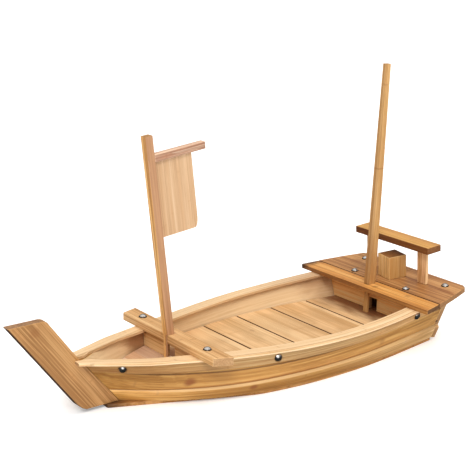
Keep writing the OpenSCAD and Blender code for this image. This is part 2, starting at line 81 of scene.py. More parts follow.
def placeSky(c):
    world = bpy.data.worlds.new("studio")
    scene.world = world
    world.use_nodes = True
    tree = world.node_tree
    back = tree.nodes["Background"]
    back.inputs["Strength"].default_value = c["skyStrength"]
    # the studio is bright overhead and darker near the ground, which the nails mirror
    coords = tree.nodes.new("ShaderNodeTexCoord")
    parts = tree.nodes.new("ShaderNodeSeparateXYZ")
    height = tree.nodes.new("ShaderNodeMapRange")
    height.inputs["From Min"].default_value = c["straightDown"]
    ramp = tree.nodes.new("ShaderNodeValToRGB")
    for i, (at, grey) in enumerate(c["sky"]):
        stop = ramp.color_ramp.elements[i] if i < 2 else ramp.color_ramp.elements.new(at)
        stop.position = at
        stop.color = (*[grey * v for v in c["warmWhite"]], 1)
    tree.links.new(coords.outputs["Generated"], parts.inputs[0])
    tree.links.new(parts.outputs["Z"], height.inputs["Value"])
    tree.links.new(height.outputs[0], ramp.inputs[0])
    # one large soft box stands behind the camera
    look = tree.nodes.new("ShaderNodeVectorMath")
    look.operation = "DOT_PRODUCT"
    look.inputs[1].default_value = Vector(c["box"]["from"]).normalized()
    patch = tree.nodes.new("ShaderNodeMapRange")
    patch.interpolation_type = "SMOOTHSTEP"
    patch.inputs["From Min"].default_value, patch.inputs["From Max"].default_value = c["box"]["edge"]
    patch.inputs["To Max"].default_value = c["box"]["strength"]
    glow = tree.nodes.new("ShaderNodeVectorMath")
    glow.operation = "ADD"
    tree.links.new(coords.outputs["Generated"], look.inputs[0])
    tree.links.new(look.outputs["Value"], patch.inputs["Value"])
    tree.links.new(ramp.outputs[0], glow.inputs[0])
    tree.links.new(patch.outputs[0], glow.inputs[1])
    tree.links.new(glow.outputs[0], back.inputs["Color"])


def placeSun(name, lamp, color):
    data = bpy.data.lights.new(name, "SUN")
    data.energy = lamp["strength"]
    data.angle = math.radians(lamp["angle"])
    data.color = color
    sun = bpy.data.objects.new(name, data)
    scene.collection.objects.link(sun)
    aim = (-Vector(lamp["from"])).to_track_quat("-Z", "Y").to_matrix().to_4x4()
    sun.matrix_world = Matrix.Translation(Vector(lamp["from"])) @ aim
    sun.visible_glossy = lamp["mirrored"]


floorSet = {"reach": 40.0, "color": (0.93, 0.93, 0.93, 1), "roughness": 0.95, "glow": 0.22}


def placeFloor(c):
    bm = bmesh.new()
    bmesh.ops.create_grid(bm, x_segments=1, y_segments=1, size=c["reach"])
    mesh = bpy.data.meshes.new("floor")
    bm.to_mesh(mesh)
    bm.free()
    floor = bpy.data.objects.new("floor", mesh)
    scene.collection.objects.link(floor)
    mat = bpy.data.materials.new("paleFloor")
    mat.use_nodes = True
    shader = mat.node_tree.nodes["Principled BSDF"]
    shader.inputs["Base Color"].default_value = c["color"]
    shader.inputs["Roughness"].default_value = c["roughness"]
    shader.inputs["Specular IOR Level"].default_value = 0.0
    shader.inputs["Emission Color"].default_value = c["color"]
    shader.inputs["Emission Strength"].default_value = c["glow"]  # a lit sweep, shadows stay faint
    mesh.materials.append(mat)
    floor.visible_glossy = False


placeCamera(cameraSet)
placeSky(lightSet)
for name in ("key", "top"):
    placeSun(name, lightSet[name], lightSet["warmWhite"])
scene.view_settings.view_transform = "Standard"
placeFloor(floorSet)
print("camera, lights and floor stand")

# finishes


class Finish:
    # one material's node tree, kept short to write
    def __init__(self, name):
        self.material = bpy.data.materials.new(name)
        self.material.use_nodes = True
        self.tree = self.material.node_tree
        self.shader = self.tree.nodes["Principled BSDF"]
        self.coords = self.add("ShaderNodeTexCoord")
        self.place = self.coords.outputs["Object"]

    def feed(self, socket, value):
        if isinstance(value, bpy.types.NodeSocket):
            self.tree.links.new(value, socket)
        elif value is not None:
            socket.default_value = value

    def add(self, kind, *feeds, **settings):
        made = self.tree.nodes.new(kind)
        for key, value in settings.items():
            setattr(made, key, value)
        for socket, value in zip(made.inputs, feeds):
            self.feed(socket, value)
        return made

    def math(self, operation, *feeds, clamp=False):
        return self.add("ShaderNodeMath", *feeds, operation=operation, use_clamp=clamp).outputs[0]

    def vector(self, operation, *feeds):
        made = self.add("ShaderNodeVectorMath", *feeds, operation=operation)
        return made.outputs["Value" if operation in ("LENGTH", "DOT_PRODUCT") else "Vector"]

    def split(self, value):
        return self.add("ShaderNodeSeparateXYZ", value).outputs

    def attribute(self, name, output="Fac"):
        return self.add("ShaderNodeAttribute", attribute_name=name).outputs[output]

    def noise(self, place, stretch, detail=2.0, rough=0.5):
        spread = self.vector("MULTIPLY", place, stretch)
        return self.add("ShaderNodeTexNoise", spread, None, 1.0, detail, rough).outputs

    def fade(self, value, start, end, low=0.0, high=1.0):
        made = self.add("ShaderNodeMapRange", value, start, end, low, high, interpolation_type="SMOOTHSTEP")
        return made.outputs[0]

    def swing(self, value, amount, base, clamp=False):
        # a noise of 0 to 1 turned into an amount to either side of a base
        return self.math("MULTIPLY_ADD", self.math("SUBTRACT", value, 0.5), amount, base, clamp=clamp)

    def around(self, noise):
        # a noise's colour as an offset to any side
        return self.vector("SUBTRACT", noise["Color"], (0.5, 0.5, 0.5))

    def most(self, first, second):
        return second if first is None else self.math("MAXIMUM", first, second)

    def facing(self, look):
        return self.vector("DOT_PRODUCT", self.coords.outputs["Normal"], tuple(Vector(look).normalized()))

    def mix(self, amount, first, second, blend="MIX"):
        made = self.add("ShaderNodeMix", data_type="RGBA", blend_type=blend)
        self.feed(made.inputs[0], amount)
        self.feed(made.inputs[6], first)
        self.feed(made.inputs[7], second)
        return made.outputs[2]

    def ramp(self, value, stops):
        made = self.add("ShaderNodeValToRGB", value)
        for i, (at, color) in enumerate(stops):
            stop = made.color_ramp.elements[i] if i < 2 else made.color_ramp.elements.new(at)
            stop.position = at
            stop.color = (*color, 1)
        return made.outputs[0]

    def relief(self, height, strength, distance):
        bump = self.add("ShaderNodeBump", strength, distance)
        self.feed(bump.inputs["Height"], height)
        self.feed(self.shader.inputs["Normal"], bump.outputs[0])


def paint(color, share=1.0):
    return (*[c * share for c in color], 1)


# colours are in linear light; lengths in metres
bamboo = {
    "along": (1, 0, 0),       # where the grain runs
    "start": (0, 0, 0),       # shifts the strips
    "laid": False,            # a curved board carries its grain directions as an attribute
    "dark": (0.40, 0.205, 0.068),
    "middle": (0.60, 0.345, 0.135),
    "light": (0.74, 0.475, 0.215),
    "warm": (0.62, 0.30, 0.10),
    "charAndShade": (0.060, 0.022, 0.008),
    "stainAndShade": (0.26, 0.085, 0.020),
    "end": (0.30, 0.150, 0.055),
    "endAmount": 0.75,
    "strip": 0.0085,          # width of one glued strip
    "layer": 0.019,           # its depth
    "seams": 0.0,             # glue lines between layers
    "knots": 0.17,            # distance of the nodes along a strip
    "knotAmount": 0.5,
    "streaks": 1.9,
    "veins": 1.1,
    "strips": 0.42,
    "clouds": 0.5,
    "warmth": 0.30,
    "hatch": 0.0,             # sanding marks
    "marksAndShade": [],              # knots, stains and painted shadows: middle, reach, depth
    "burntAndShaded": [],              # darkened faces, burnt and painted shade: which way they look, depth, how much they may turn away
    "shadowLines": [],              # painted shadow lines along a bent board: height, reach, depth
    "drift": None,            # tint toward the bow, amidships and toward the stern
    "sideLight": None,              # painted light and shade: faces turned this way take these tones
    "sideLightDark": (0.60, 0.38, 0.18),
    "sideLightBright": (0.85, 0.64, 0.39),
    "edgeWearAndGlint": 0.30,              # paler eased corners: partly wear, partly a painted highlight
    "roughness": 0.44,
    "bump": 0.5,
}

# what every board shares: noises are a stretch, some with detail and roughness; edges a start and an end
grainSet = {
    "wander": (6.0, 22.0, 22.0),
    "wanderBy": (0.004, 0.0022, 0.0022),
    "slip": (0.8, 0.0, 0.0),
    "streak": ((7.0, 470.0, 470.0), 2.0, 0.5),
    "vein": ((13.0, 290.0, 290.0), 3.0, 0.7),
    "fibre": ((70.0, 2600.0, 2600.0), 2.0, 0.6),
    "cloud": ((5.0, 48.0, 48.0), 3.0, 0.55),
    "fleckEdge": (0.58, 0.74),
    "glueEdge": (0.00008, 0.00034),
    "nodesShow": (0.35, 0.45),    # three strips in five show their nodes
    "nodeJitter": 0.0022,
    "ringEdge": (0.0003, 0.0018),
    "haloEdge": (0.001, 0.012),
    "tones": (0.12, 0.88, 0.5),   # where the dark, light and middle colours sit
    "fleckTone": (0.32, 0.55),    # how much shows, and its share of the warm colour
    "glueTone": (0.34, 0.5),      # the same of the dark colour
    "haloShows": 0.35,
    "ringShade": 0.6,
    "rise": (0.6, -0.35, -0.8, 0.35),   # relief of streaks, flecks, glue lines and nodes
    "hatchTurns": (2400.0, 1500.0, 9.0),  # radians per metre along and across, and their waver
    "hatchPatch": (14.0, 30.0, 30.0),
    "hatchEdge": (0.42, 0.62),
    "hatchShade": 0.8,
    "cutEdge": (0.72, 0.92),
    "pores": (60.0, 1500.0, 1500.0),
    "poreEdge": (0.1, 0.6),
    "poreShade": 0.45,
    "sideLightEdge": (0.3, 0.7),
    "sideLightContrast": 0.6,
    "darkFaceTurn": 0.28,
    "darkFaceCloud": 0.9,
    "shadowLineCore": 0.3,
    "foreEdge": (-0.18, -0.02),   # the boat runs from -0.30 at the stem to 0.30
    "aftEdge": (0.05, 0.22),
    "ragged": ((22.0, 75.0, 75.0), 3.0, 0.6),
    "markEdge": (0.25, 1.0),
    "reliefDepth": 0.00022,
    "roughSwing": 0.22,
    "cutRoughness": 0.22,
    "smoothest": 0.2,
    "specular": 0.42,
    "coat": 0.10,
    "coatRoughness": 0.30,
}


class WoodFinish(Finish):
    # a board's finish, built up from its strips to the dirt on it
    def __init__(self, name, wood):
        super().__init__(name)
        self.wood = wood
        self.outer = 1.0  # none on a face that takes painted side light
        self.layBoard(grainSet)
        self.glueStrips(grainSet)
        self.growGrain(grainSet)
        self.growNodes(grainSet)
        self.toneStrips(grainSet)
        if wood["hatch"]:
            self.sandMarks(grainSet)
        self.cutEnds(grainSet)
        if wood["drift"]:
            self.driftTint(grainSet)
        if wood["sideLight"]:
            self.paintSideLight(grainSet)
        # eased corners are paler: wear, and a painted highlight along the edges
        wornAndGlinting = self.math("MULTIPLY", self.attribute("easedEdge"), wood["edgeWearAndGlint"])
        self.tint(wornAndGlinting, paint(wood["light"]))
        self.scorchAndShadeFaces(grainSet)
        self.stainAndShadeMarks(grainSet)
        self.coatSurface(grainSet)

    def tint(self, amount, color, blend="MIX"):
        self.color = self.mix(amount, self.color, color, blend)

    def layBoard(self, c):
        # u runs along the grain, v across the strips and w through the layers
        along = Vector(self.wood["along"]).normalized()
        turn = along.rotation_difference(Vector((1, 0, 0))).to_euler()
        place = self.attribute("lay", "Vector") if self.wood["laid"] else self.place
        self.board = self.add("ShaderNodeMapping", place, self.wood["start"], tuple(turn)).outputs[0]
        # grain is never dead straight
        sway = self.around(self.noise(self.board, c["wander"]))
        self.grain = self.vector("ADD", self.board, self.vector("MULTIPLY", sway, c["wanderBy"]))
        self.u, self.v, self.w = self.split(self.grain)

    def glueStrips(self, c):
        # each glued strip has its own tone, warmth and nodes
        wood = self.wood
        across = self.math("DIVIDE", self.v, wood["strip"])
        deep = self.math("DIVIDE", self.w, wood["layer"])
        cell = (self.math("FLOOR", across), self.math("FLOOR", deep), wood["seed"])
        cell = self.add("ShaderNodeCombineXYZ", *cell).outputs[0]
        self.dice = self.add("ShaderNodeTexWhiteNoise", cell).outputs["Color"]
        self.tone, self.shift, self.warm = self.split(self.dice)
        gap = self.math("MULTIPLY", self.math("PINGPONG", across, 0.5), wood["strip"])
        self.glue = self.fade(gap, *c["glueEdge"], 1.0, 0.0)
        if wood["seams"]:
            seam = self.math("MULTIPLY", self.math("PINGPONG", deep, 0.5), wood["layer"])
            self.glue = self.most(self.glue, self.fade(seam, *c["glueEdge"], wood["seams"], 0.0))

    def growGrain(self, c):
        own = self.vector("ADD", self.grain, self.vector("MULTIPLY", self.dice, c["slip"]))
        self.streak, self.vein, self.fibre, self.cloud = [
            self.noise(own, *c[kind])["Fac"] for kind in ("streak", "vein", "fibre", "cloud")]
        self.fleck = self.fade(self.fibre, *c["fleckEdge"])

    def growNodes(self, c):
        knots = self.wood["knots"]
        run = self.math("ADD", self.math("DIVIDE", self.u, knots), self.shift)
        away = self.math("MULTIPLY", self.math("PINGPONG", run, 0.5), knots)
        away = self.math("ADD", away, self.swing(self.fibre, c["nodeJitter"], 0.0))
        shows = self.fade(self.warm, *c["nodesShow"])
        self.ring = self.math("MULTIPLY", self.fade(away, *c["ringEdge"], 1.0, 0.0), shows)
        self.halo = self.math("MULTIPLY", self.fade(away, *c["haloEdge"], 1.0, 0.0), shows)

    def toneStrips(self, c):
        wood = self.wood
        level = self.swing(self.streak, wood["streaks"], 0.5)
        level = self.swing(self.vein, wood["veins"], level)
        level = self.swing(self.tone, wood["strips"], level)
        self.level = self.swing(self.cloud, wood["clouds"], level)
        self.color = self.ramp(self.level, zip(c["tones"], (wood["dark"], wood["light"], wood["middle"])))
        for mask, shows, tone in ((self.warm, wood["warmth"], paint(wood["warm"])),
                                  (self.fleck, c["fleckTone"][0], paint(wood["warm"], c["fleckTone"][1])),
                                  (self.glue, c["glueTone"][0], paint(wood["dark"], c["glueTone"][1])),
                                  (self.halo, wood["knotAmount"] * c["haloShows"], paint(wood["warm"])),
                                  (self.ring, wood["knotAmount"], paint(wood["warm"], c["ringShade"]))):
            self.tint(self.math("MULTIPLY", mask, shows), tone)
        self.height = 0.0
        for mask, rise in zip((self.streak, self.fleck, self.glue, self.halo), c["rise"]):
            self.height = self.math("MULTIPLY_ADD", mask, rise, self.height)

    def sandMarks(self, c):
        # fine slanting marks left by the drum sander
        along, across, waver = c["hatchTurns"]
        slant = self.math("ADD", self.math("MULTIPLY", self.u, along), self.math("MULTIPLY", self.v, across))
        wave = self.math("SINE", self.math("ADD", slant, self.math("MULTIPLY", self.cloud, waver)))
        patch = self.fade(self.noise(self.board, c["hatchPatch"])["Fac"], *c["hatchEdge"])
        wave = self.math("MULTIPLY", self.math("MULTIPLY", wave, patch), self.wood["hatch"])
        self.tint(self.math("ABSOLUTE", wave), paint(self.wood["dark"], c["hatchShade"]))
        self.height = self.math("ADD", self.height, wave)

    def cutEnds(self, c):
        # end grain is darker, with the fibres seen end on
        end = self.wood["end"]
        self.cut = self.fade(self.math("ABSOLUTE", self.facing(self.wood["along"])), *c["cutEdge"])
        pores = self.vector("MULTIPLY", self.board, c["pores"])
        pores = self.add("ShaderNodeTexVoronoi", pores, None, 1.0).outputs[0]
        endTone = self.mix(self.fade(pores, *c["poreEdge"]), paint(end, c["poreShade"]), paint(end))
        self.tint(self.math("MULTIPLY", self.cut, self.wood["endAmount"]), endTone)

    def driftTint(self, c):
        fore, mid, aft = self.wood["drift"]
        length = self.split(self.place)["X"]
        tint = self.mix(self.fade(length, *c["foreEdge"]), paint(fore), paint(mid))
        tint = self.mix(self.fade(length, *c["aftEdge"]), tint, paint(aft))
        self.tint(1.0, tint, "MULTIPLY")

    def paintSideLight(self, c):
        share = self.fade(self.facing(self.wood["sideLight"]), *c["sideLightEdge"])
        amount = self.swing(self.level, c["sideLightContrast"], 0.5, clamp=True)
        self.tint(share, self.mix(amount, paint(self.wood["sideLightDark"]), paint(self.wood["sideLightBright"])))
        self.outer = self.math("SUBTRACT", 1.0, share)

    def scorchAndShadeFaces(self, c):
        # burnt faces, faces darkened as painted shade, and painted shadow lines where one board laps over the
        # next
        scorchAndShade = None
        for look, depth, start in self.wood["burntAndShaded"]:
            uneven = self.math("MULTIPLY_ADD", self.cloud, c["darkFaceCloud"], depth - c["darkFaceCloud"] / 2)
            turned = self.fade(self.facing(look), start, start + c["darkFaceTurn"])
            scorchAndShade = self.most(scorchAndShade, self.math("MULTIPLY", turned, uneven, clamp=True))
        for height, reach, depth in self.wood["shadowLines"]:
            away = self.math("ABSOLUTE", self.math("SUBTRACT", self.w, height))
            line = self.fade(away, reach * c["shadowLineCore"], reach, depth, 0.0)
            scorchAndShade = self.most(scorchAndShade, self.math("MULTIPLY", line, self.outer))
        if scorchAndShade is not None:
            self.tint(scorchAndShade, paint(self.wood["charAndShade"]))

    def stainAndShadeMarks(self, c):
        # knots, stains and painted shadows with ragged borders
        stainAndShade = None
        ragged = self.around(self.noise(self.grain, *c["ragged"]))
        for middle, reach, depth in self.wood["marksAndShade"]:
            out = self.vector("DIVIDE", self.vector("SUBTRACT", self.place, middle), reach)
            out = self.vector("LENGTH", self.vector("ADD", out, ragged))
            stainAndShade = self.most(stainAndShade, self.fade(out, *c["markEdge"], depth, 0.0))
        if stainAndShade is not None:
            self.tint(stainAndShade, paint(self.wood["stainAndShade"]))

    def coatSurface(self, c):
        # a thin oil coat, which the end grain soaks up
        rough = self.swing(self.streak, c["roughSwing"], self.wood["roughness"])
        rough = self.math("MULTIPLY_ADD", self.cut, c["cutRoughness"], rough)
        self.feed(self.shader.inputs["Base Color"], self.color)
        self.feed(self.shader.inputs["Roughness"], self.math("MAXIMUM", rough, c["smoothest"]))
        self.shader.inputs["Specular IOR Level"].default_value = c["specular"]
        coat = self.math("MULTIPLY_ADD", self.cut, -c["coat"], c["coat"])
        self.feed(self.shader.inputs["Coat Weight"], coat)
        self.shader.inputs["Coat Roughness"].default_value = c["coatRoughness"]
        self.relief(self.height, self.wood["bump"], c["reliefDepth"])


print("finishes ready")

# woodwork: each board is a copy of its node with its corners eased

boardSet = {
    "weld": 0.00002,
    "flat": 0.5,         # degrees, like the next two
    "corner": 32.0,      # edges that turn more than this are eased
    "smooth": 40,
    "shortest": 0.0006,  # and shorter edges are left as they are
    "sweepDegree": 6,
    "sheerDegree": 3,
}


def easedCopy(name, ease, c):
    bm = bmesh.new()
    bm.from_mesh(nodes[name].data)
    bmesh.ops.remove_doubles(bm, verts=bm.verts, dist=c["weld"])
    bmesh.ops.dissolve_limit(bm, angle_limit=math.radians(c["flat"]), verts=bm.verts, edges=bm.edges)
    easedEdge = bm.faces.layers.float.new("easedEdge")
    corners = [e for e in bm.edges if len(e.link_faces) == 2
               and e.calc_face_angle(0) > math.radians(c["corner"]) and e.calc_length() > c["shortest"]]
    made = bmesh.ops.bevel(bm, geom=corners, offset=ease, offset_type="OFFSET", affect="EDGES",
                           segments=2, profile=0.5, material=-1, clamp_overlap=True)
    for face in made["faces"]:
        face[easedEdge] = 1.0
    for face in bm.faces:
        face.smooth = True
    mesh = bpy.data.meshes.new(name + ".wood")
    bm.to_mesh(mesh)
    bm.free()
    mesh.set_sharp_from_angle(angle=math.radians(c["smooth"]))
    board = bpy.data.objects.new(name + ".wood", mesh)
    scene.collection.objects.link(board)
    even = board.modifiers.new("even", "WEIGHTED_NORMAL")
    even.keep_sharp = True
    return board


def layGrain(mesh, c):
    # a bent board's grain follows its sweep: along it, out from its curve, up from its curve
    spots = np.array([vert.co for vert in mesh.vertices])
    length = spots[:, 0]
    out = np.abs(spots[:, 1])
    sweep = np.polynomial.Polynomial.fit(length, out, c["sweepDegree"])
    sheer = np.polynomial.Polynomial.fit(length, spots[:, 2], c["sheerDegree"])
    lay = np.column_stack((length, out - sweep(length), spots[:, 2] - sheer(length)))
    mesh.attributes.new("lay", "FLOAT_VECTOR", "POINT").data.foreach_set("vector", lay.ravel())


def dress(name, wood, ease=0.0005, reshape=None):
    wood = {**bamboo, "seed": list(nodes).index(name) + 0.5, **wood}
    board = easedCopy(name, ease, boardSet)
    if reshape:
        reshape(board.data)
    if wood["laid"]:
        layGrain(board.data, boardSet)
    board.data.materials.append(WoodFinish(name + ".finish", wood).material)
    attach(board, "root")
    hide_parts(name)


# hull planks
everywhere = 9  # reach of a mark that runs the whole length
upperPlank = {
    "laid": True,
    "start": (0, 0.0105, 0),
    "dark": (0.31, 0.135, 0.030),
    "middle": (0.41, 0.192, 0.046),
    "light": (0.55, 0.305, 0.095),
    "strip": 0.021,
    "layer": 0.0075,
    # painted shadow under the band's lower edge
    "shadowLines": [(0.0035, 0.0014, 0.6)],
    "strips": 0.22,
    "clouds": 0.25,
    "veins": 0.7,
    "knots": 0.23,
    "drift": ((0.85, 0.82, 0.62), (1.13, 1.16, 1.09), (1.12, 1.18, 1.14)),
    "marksAndShade": [((0, 0, 0.0193), (everywhere, everywhere, 0.0030), 0.66),  # painted shadow where it meets the lower plank
              ((-0.105, 0.055, 0.045), (0.035, 0.030, 0.035), 0.75),
              # painted shade on the far inner wall under the stern deck
              ((0.200, 0.095, 0.050), (0.045, 0.030, 0.035), 0.50),
              ((-0.1054, -0.0567, 0.0284), (0.009, 0.02, 0.007), 0.95),
              ((0.1559, -0.0918, 0.0292), (0.007, 0.02, 0.007), 0.40)],
}
lowerPlank = {
    "laid": True,
    "start": (0, 0.0105, 0),
    "dark": (0.32, 0.130, 0.024),
    "middle": (0.42, 0.180, 0.037),
    "light": (0.57, 0.30, 0.090),
    "strip": 0.021,
    "layer": 0.0085,
    "strips": 0.25,
    "clouds": 0.25,
    "veins": 0.7,
    "sideLight": (0, 0, 1),         # painted highlight: faces turning up, such as the ledge along its top, are paler
    "sideLightDark": (0.48, 0.28, 0.11),
    "sideLightBright": (0.70, 0.46, 0.21),
    "drift": ((1.38, 1.58, 1.70), (0.80, 0.80, 0.66), (1.28, 1.70, 2.80)),
    "marksAndShade": [((-0.0341, -0.082, 0.0131), (0.008, 0.02, 0.005), 0.9)],
}
for side, inward in (("left", 1), ("right", -1)):
    # painted light: the inner faces, turned up toward the light, are paler
    dress("upper_plank_" + side, {**upperPlank, "sideLight": (0, inward, 0.3)}, 0.0004)
    dress("lower_plank_" + side, lowerPlank, 0.0004)

bottomBoard = {
    "dark": (0.30, 0.125, 0.028),
    "middle": (0.42, 0.19, 0.045),
    "light": (0.54, 0.28, 0.09),
    "stainAndShade": (0.06, 0.022, 0.008),
    # painted shadow on the bottom board's nose under the stem
    "marksAndShade": [((-0.178, 0, 0.002), (0.03, 0.03, 0.02), 0.85)],
}
dress("bottom_board", bottomBoard)

transomBoard = {
    "along": (0, 1, 0),
    "strip": 0.012,
    "layer": 0.02,
    "dark": (0.50, 0.26, 0.09),
    "middle": (0.82, 0.51, 0.22),
    "light": (0.90, 0.64, 0.32),
    "stainAndShade": (0.06, 0.022, 0.008),
    "marksAndShade": [((0.2678, side * 0.0747, 0.0261), (0.003, 0.004, 0.0022), 0.9) for side in (-1, 1)],
}
dress("transom", transomBoard)

# stem, with its grain raked like its edges
stemBoard = {
    "along": (-0.60, 0, 0.80),
    "strip": 0.030,
    "layer": 0.0062,
    "knots": 0.16,
    "knotAmount": 0.45,
    "dark": (0.24, 0.106, 0.029),
    "middle": (0.36, 0.178, 0.057),
    "light": (0.50, 0.270, 0.100),
    "end": (0.38, 0.27, 0.235),
    "endAmount": 0.60,
    "burntAndShaded": [((-0.8, 0, -0.6), 0.95, 0.30), ((0, 0, 1), 0.22, 0.70)],
    "streaks": 3.6,
    "clouds": 0.6,
    "marksAndShade": [((-0.2686, -0.006, 0.1064), (0.009, 0.02, 0.008), 0.35)],
}
dress("stem", stemBoard, 0.0009)

# rim: nailed band and flat gunwale
bandStrip = {
    "laid": True,
    "start": (0, 0.01, 0),
    "dark": (0.26, 0.125, 0.040),
    "middle": (0.39, 0.222, 0.083),
    "light": (0.51, 0.32, 0.135),
    "strip": 0.02,
    "layer": 0.006,
    "seams": 0.6,
    "warmth": 0.15,
    "knots": 0.21,
    # painted shadow under the gunwale's edge
    "shadowLines": [(0.0062, 0.0014, 0.5)],
    "drift": ((0.83, 0.72, 0.53), (0.96, 0.99, 1), (1.32, 1.32, 1.32)),
}
gunwaleStrip = {
    "laid": True,
    "dark": (0.50, 0.29, 0.12),
    "middle": (0.77, 0.525, 0.285),
    "light": (0.87, 0.65, 0.40),
    "streaks": 0.9,
    "veins": 0.4,
    "strip": 0.0058,
    "layer": 0.02,
    "warmth": 0.18,
    "knots": 0.24,
    "knotAmount": 0.3,
}
gunwaleDrift = {"left": None, "right": ((1, 1, 1), (1, 1, 1), (0.72, 0.67, 0.68))}
rimSet = {
    "fairFrom": -0.150,
    "narrow": 0.82,      # share of the width left at the tip
    "stem": 0.0062,      # just outside the stem's side, and up to there the rim stays put
    "loose": 0.009,
    "digits": 3,         # a station is a millimetre
}


def fairTip(mesh):
    # the rim runs straight to the stem and narrows a little on the way
    c = rimSet
    stations = [round(vert.co.x, c["digits"]) for vert in mesh.vertices]
    outside = {}
    for at, vert in zip(stations, mesh.vertices):
        outside[at] = max(outside.get(at, 0.0), abs(vert.co.y))
    tip = min(outside)
    start = min(outside, key=lambda at: abs(at - c["fairFrom"]))
    for at, vert in zip(stations, mesh.vertices):
        if at < start:
            share = (at - tip) / (start - tip)
            edge = outside[tip] + (outside[start] - outside[tip]) * share
            inset = outside[at] - abs(vert.co.y)
            moved = edge - inset * (c["narrow"] + (1 - c["narrow"]) * share) - abs(vert.co.y)
            free = min(1.0, max(0.0, (abs(vert.co.y) - c["stem"]) / c["loose"]))
            vert.co.y += math.copysign(moved * free, vert.co.y)


for side in ("left", "right"):
    dress("band_" + side, bandStrip, 0.0003)
    dress("gunwale_" + side, {**gunwaleStrip, "drift": gunwaleDrift[side]}, reshape=fairTip)
print("hull dressed")

# floor
floorSlat = {
    "along": (0, 1, 0),
    "dark": (0.46, 0.255, 0.095),
    "middle": (0.72, 0.465, 0.235),
    "light": (0.85, 0.60, 0.33),
    "strip": 0.019,
    "layer": 0.02,
    "strips": 0.30,
    "clouds": 0.8,
    "knots": 0.14,
    "knotAmount": 0.28,
    "hatch": 0.50,
    "burntAndShaded": [((1, 0, 0), 1.35, 0.40), ((-1, 0, 0), 1.35, 0.40)],
    "charAndShade": (0.090, 0.030, 0.008),
    "edgeWearAndGlint": 0.0,
    "streaks": 0.8,
    "veins": 0.5,
    "stainAndShade": (0.15, 0.042, 0.010),
    "marksAndShade": [((0.0505, 0.0317, 0.0287), (0.004, 0.006, 0.004), 0.28),
              ((-0.0013, 0.0246, 0.0287), (0.012, 0.012, 0.004), 0.10),
              ((-0.072, 0.026, 0.0287), (0.026, 0.046, 0.01), 0.92),
              # painted shadow under the stern deck
              ((0.230, 0, 0.0287), (0.048, 0.21, 0.01), 0.92)],
}
for number in range(1, 9):
    dress("floor_slat_%d" % number, floorSlat, 0.0010)

bearer = {"strip": 0.006}
for side in ("left", "right"):
    dress("bearer_" + side, bearer)

bowFloor = {
    **floorSlat,
    "hatch": 0.1,
    "dark": (0.48, 0.27, 0.155),
    "middle": (0.65, 0.43, 0.285),
    "light": (0.76, 0.54, 0.385),
    "marksAndShade": [],
    "burntAndShaded": [],
}
dress("bow_floor", bowFloor)

bulkheadBoard = {
    "along": (0, 1, 0),
    "middle": (0.66, 0.42, 0.18),
    "light": (0.78, 0.54, 0.26),
    "strip": 0.02,
    "layer": 0.009,
}
# painted light: a paler copy of the bulkhead board, brighter than the shade under the deck leaves it
sternBulkhead = {
    **bulkheadBoard,
    "dark": (0.70, 0.35, 0.11),
    "middle": (0.94, 0.53, 0.20),
    "light": (0.97, 0.66, 0.30),
}
dress("bow_bulkhead", bulkheadBoard)
dress("stern_bulkhead", sternBulkhead)

# crossbeam over the bow
bowBeam = {
    "along": (0, 1, 0),
    "middle": (0.66, 0.385, 0.165),
    "light": (0.80, 0.52, 0.25),
    "strip": 0.0062,
    "layer": 0.0042,
    "end": (0.42, 0.24, 0.11),
    "marksAndShade": [((-0.0887, -0.0004, 0.066), (0.004, 0.005, 0.004), 0.4)],
}
dress("bow_beam", bowBeam, 0.0006)
print("floor and bow dressed")

# stern deck
frontPlank = {
    "along": (0, 1, 0),
    "dark": (0.36, 0.150, 0.035),
    "middle": (0.60, 0.262, 0.058),
    "light": (0.72, 0.37, 0.11),
    "warm": (0.50, 0.18, 0.03),
    "strip": 0.0065,
    "layer": 0.004,
    "end": (0.10, 0.045, 0.018),
    "endAmount": 0.9,
    "burntAndShaded": [((1, 0, 0), 1.35, 0.35), ((-1, 0, -0.1), 0.50, 0.62)],
    "charAndShade": (0.085, 0.016, 0.001),
    "edgeWearAndGlint": 0.1,
    "stainAndShade": (0.050, 0.016, 0.005),
    "marksAndShade": [((0.214, 0.128, 0.066), (0.06, 0.030, 0.03), 1.0),
              ((0.2147, -0.015, 0.0672), (0.006, 0.005, 0.006), 0.45),
              ((0.2215, -0.068, 0.0676), (0.005, 0.006, 0.006), 0.30)],
}
dress("deck_front_plank", frontPlank, 0.0010)

sternDeck = {
    "along": (0, 1, 0),
    "dark": (0.20, 0.070, 0.017),
    "middle": (0.41, 0.182, 0.058),
    "light": (0.59, 0.320, 0.126),
    "burntAndShaded": [((-1, 0, 0), 1.35, 0.35), ((1, 0, 0), 0.6, 0.40)],
    "edgeWearAndGlint": 0.15,
    "strip": 0.022,
    "layer": 0.01,
    "hatch": 0.08,
    "marksAndShade": [((0.2567, -0.0719, 0.0696), (0.018, 0.026, 0.01), 0.34),
              ((0.2655, 0.0749, 0.0702), (0.010, 0.016, 0.01), 0.50),
              ((0.2646, -0.0337, 0.0701), (0.012, 0.018, 0.01), 0.38),
              ((0.2678, -0.0873, 0.0703), (0.006, 0.020, 0.01), 0.45)],
}
dress("stern_deck", sternDeck, 0.0010)

benchPost = {
    "along": (0, 0, 1),
    "strip": 0.006,
    "layer": 0.007,
    "dark": (0.50, 0.255, 0.10),
    "middle": (0.79, 0.47, 0.235),
    "light": (0.88, 0.59, 0.31),
}
for side in ("left", "right"):
    dress("bench_post_" + side, benchPost)

